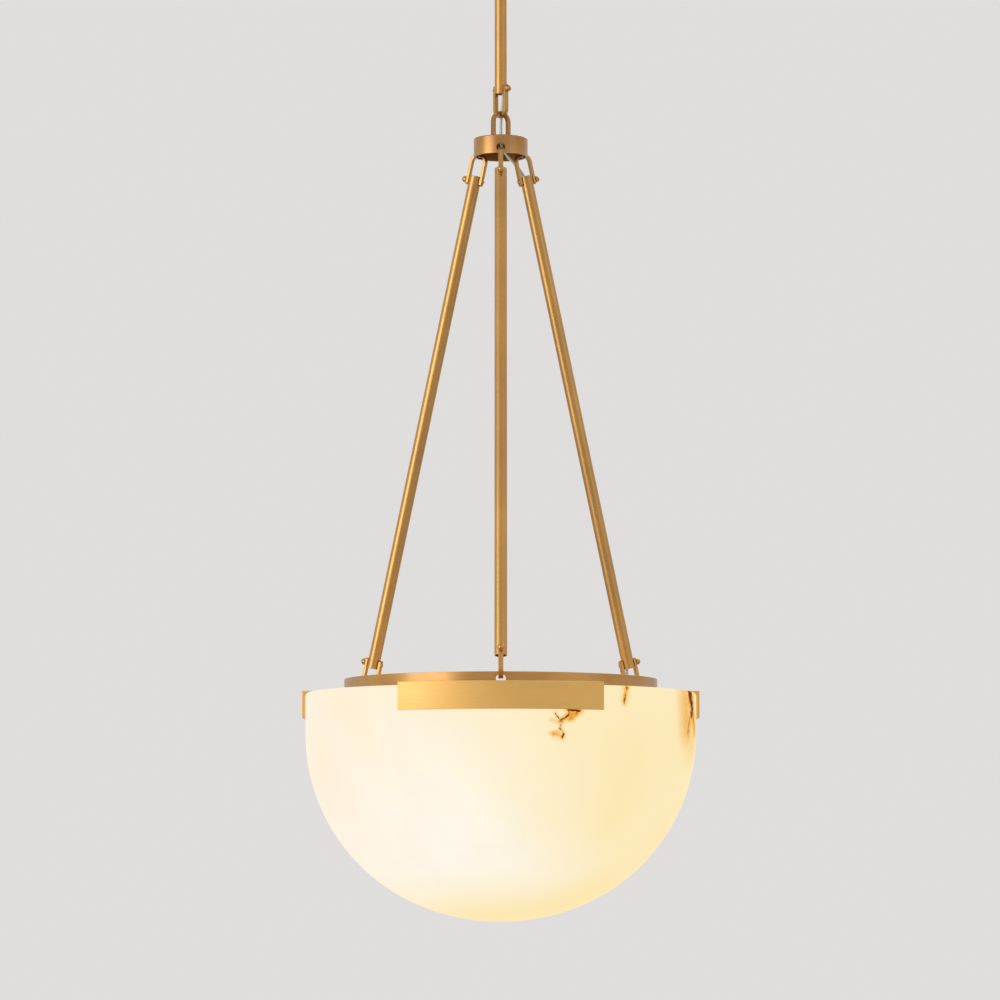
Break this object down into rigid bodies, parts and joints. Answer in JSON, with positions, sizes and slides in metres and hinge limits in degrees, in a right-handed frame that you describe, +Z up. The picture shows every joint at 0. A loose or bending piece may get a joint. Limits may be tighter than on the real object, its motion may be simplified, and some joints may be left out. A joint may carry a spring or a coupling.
{
  "type": "alabaster bowl pendant light",
  "caption": "Ceiling pendant light: an alabaster bowl in a brass ring hangs by slanting rods and strap shackles from a small hub under a linked stem.",
  "frame": {"origin": "on the ceiling plane, at the centre of the ceiling bracket, over the lamp's axis", "axes": "+Z up, +X to the right as seen in the picture, +Y away from the viewer; one rod is at -Y"},
  "size_m": [0.4076, 0.4038, 1.0078],
  "materials": {
    "satin_brass": "satin, brushed",
    "plated_steel": "zinc plated",
    "alabaster": "honed translucent stone, lit from inside",
    "clear_cord": "clear jacket",
    "soft_silicone": "soft matt",
    "white_enamel": "white enamel",
    "white_porcelain": "glazed",
    "white_plastic": "moulded",
    "frosted_bulb": "frosted, lit"
  },
  "bodies": {
    "ceiling_mount": {"ceiling_bracket": "plated_steel", "hanger_nipple": "plated_steel", "hanger_nuts": "plated_steel", "earth_screw": "plated_steel", "stem": "satin_brass", "stem_cord": "clear_cord"},
    "canopy": {"canopy": "satin_brass", "canopy_collar": "satin_brass", "collar_screw": "satin_brass"},
    "stem_link": {"stem_shackle": "satin_brass", "stem_bolt": "satin_brass", "stem_nut": "satin_brass", "shackle_cord": "clear_cord"},
    "hub": {"hub": "satin_brass", "hub_loop": "satin_brass", "loop_nuts": "plated_steel", "hub_grommet": "soft_silicone", "hub_bolts": "satin_brass", "hub_bolt_nuts": "satin_brass", "link_cord": "clear_cord", "feed_cord": "clear_cord", "hub_shackle_front": "satin_brass", "hub_shackle_right": "satin_brass", "hub_shackle_left": "satin_brass"},
    "rod_front": {"rod_front": "satin_brass", "ring_shackle_front": "satin_brass", "ring_bolt_front": "satin_brass", "ring_nut_front": "satin_brass"},
    "rod_right": {"rod_right": "satin_brass", "ring_shackle_right": "satin_brass", "ring_bolt_right": "satin_brass", "ring_nut_right": "satin_brass", "rod_cord": "clear_cord"},
    "rod_left": {"rod_left": "satin_brass", "ring_shackle_left": "satin_brass", "ring_bolt_left": "satin_brass", "ring_nut_left": "satin_brass"},
    "bowl_frame": {"ring": "satin_brass", "clip_pads": "soft_silicone", "ring_screws": "plated_steel", "bowl": "alabaster", "stud_washers": "soft_silicone", "stud_nuts": "plated_steel", "lamp_plate": "white_enamel", "plate_screws": "plated_steel", "holder_nuts": "plated_steel", "lead_connector": "white_plastic", "lamp_leads": "clear_cord", "lamp_cord": "clear_cord", "rim_clip_front": "satin_brass", "rim_clip_right": "satin_brass", "rim_clip_left": "satin_brass", "lamp_holder_right": "white_porcelain", "lamp_holder_rear": "white_porcelain", "lamp_holder_left": "white_porcelain", "bulb_right": "frosted_bulb", "bulb_rear": "frosted_bulb", "bulb_left": "frosted_bulb"}
  },
  "joints": [
    {"name": "canopy_slide", "type": "slide", "parent": "ceiling_mount", "child": "canopy", "axis": [0, 0, 1], "range_m": [-0.09, 0]},
    {"name": "stem_swing", "type": "hinge", "parent": "ceiling_mount", "child": "stem_link", "pos_m": [0, 0, -0.147], "axis": [0.6428, -0.766, 0], "range_deg": [-15, 15], "deforming": ["shackle_cord"]},
    {"name": "link_swing", "type": "hinge", "parent": "stem_link", "child": "hub", "pos_m": [0, 0, -0.16735], "axis": [0.766, 0.6428, 0], "range_deg": [-15, 15], "deforming": ["link_cord"]},
    {"name": "bowl_twist", "type": "hinge", "parent": "hub", "child": "bowl_frame", "pos_m": [0, 0, -0.75779], "axis": [0, 0, 1], "range_deg": [-4, 4], "stiffness_Nm_per_rad": 1},
    {"name": "front_rod_sway", "type": "hinge", "parent": "hub", "child": "rod_front", "pos_m": [0, -0.03122, -0.24012], "axis": [0, -0.9715, 0.237], "range_deg": [-1.23, 1.23]},
    {"name": "right_rod_sway", "type": "hinge", "parent": "hub", "child": "rod_right", "pos_m": [0.02704, 0.01561, -0.24012], "axis": [0.8414, 0.4858, 0.237], "range_deg": [-1.23, 1.23]},
    {"name": "left_rod_sway", "type": "hinge", "parent": "hub", "child": "rod_left", "pos_m": [-0.02704, 0.01561, -0.24012], "axis": [-0.8414, 0.4858, 0.237], "range_deg": [-1.23, 1.23]}
  ],
  "couplings": [
    {"joint": "front_rod_sway", "follows": "bowl_twist", "ratio": 0.2956},
    {"joint": "right_rod_sway", "follows": "bowl_twist", "ratio": 0.2956},
    {"joint": "left_rod_sway", "follows": "bowl_twist", "ratio": 0.2956}
  ]
}
